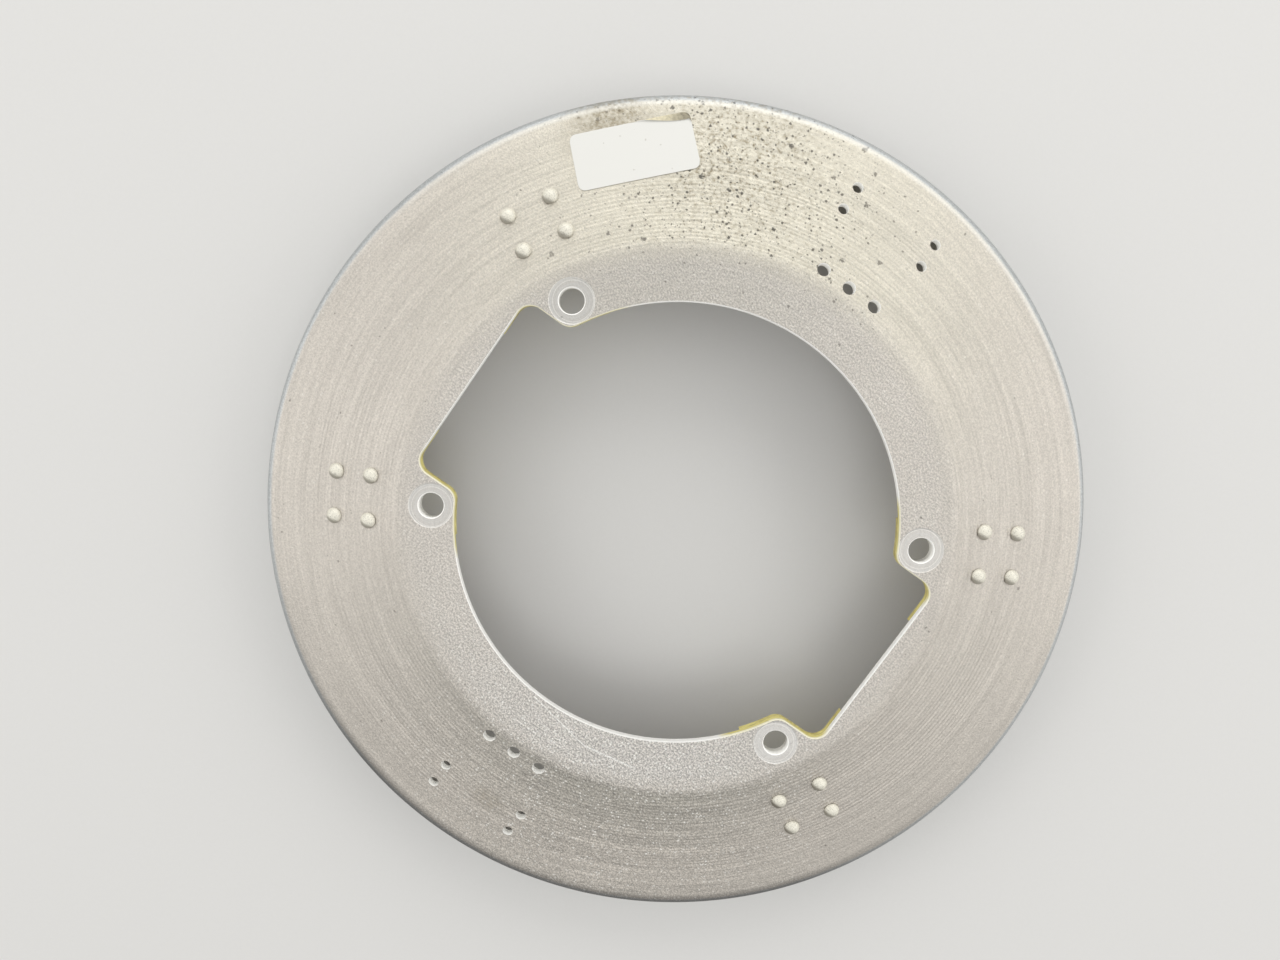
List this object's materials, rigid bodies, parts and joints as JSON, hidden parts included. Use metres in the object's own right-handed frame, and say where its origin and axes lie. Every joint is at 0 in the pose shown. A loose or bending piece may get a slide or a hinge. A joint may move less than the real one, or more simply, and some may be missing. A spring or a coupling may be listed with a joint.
{
  "type": "spinner bulkhead",
  "caption": "Dished spun-aluminium ring that carries a propeller spinner on its rim, with riveted lug doublers around the hub cut-out",
  "frame": {"origin": "centre of the four hub bolts, on the flat face that the picture shows", "axes": "+Z leaves that face along the dish's axis, X runs through the two ends of the slot, and Y through the two groups of bracket holes"},
  "size_m": [0.3556, 0.3556, 0.046],
  "materials": {
    "spun_aluminium": "spun, bare, fine turned rings, aged",
    "primed_aluminium": "sheet brushed with yellow-green chromate primer",
    "rivet_aluminium": "solid rivets, driven, bare",
    "cadmium_steel": "stamped steel with a yellow plated finish",
    "label_film": "white film label, blank"
  },
  "bodies": {
    "root": {"bulkhead_shell": "spun_aluminium", "data_label": "label_film", "lug_doubler_1": "primed_aluminium", "lug_rivets_1": "rivet_aluminium", "lug_doubler_2": "primed_aluminium", "lug_rivets_2": "rivet_aluminium", "lug_doubler_3": "primed_aluminium", "lug_rivets_3": "rivet_aluminium", "lug_doubler_4": "primed_aluminium", "lug_rivets_4": "rivet_aluminium", "anchor_nut_01": "cadmium_steel", "anchor_nut_rivets_01": "rivet_aluminium", "anchor_nut_02": "cadmium_steel", "anchor_nut_rivets_02": "rivet_aluminium", "anchor_nut_03": "cadmium_steel", "anchor_nut_rivets_03": "rivet_aluminium", "anchor_nut_04": "cadmium_steel", "anchor_nut_rivets_04": "rivet_aluminium", "anchor_nut_05": "cadmium_steel", "anchor_nut_rivets_05": "rivet_aluminium", "anchor_nut_06": "cadmium_steel", "anchor_nut_rivets_06": "rivet_aluminium", "anchor_nut_07": "cadmium_steel", "anchor_nut_rivets_07": "rivet_aluminium", "anchor_nut_08": "cadmium_steel", "anchor_nut_rivets_08": "rivet_aluminium", "anchor_nut_09": "cadmium_steel", "anchor_nut_rivets_09": "rivet_aluminium", "anchor_nut_10": "cadmium_steel", "anchor_nut_rivets_10": "rivet_aluminium", "anchor_nut_11": "cadmium_steel", "anchor_nut_rivets_11": "rivet_aluminium", "anchor_nut_12": "cadmium_steel", "anchor_nut_rivets_12": "rivet_aluminium"}
  },
  "joints": []
}
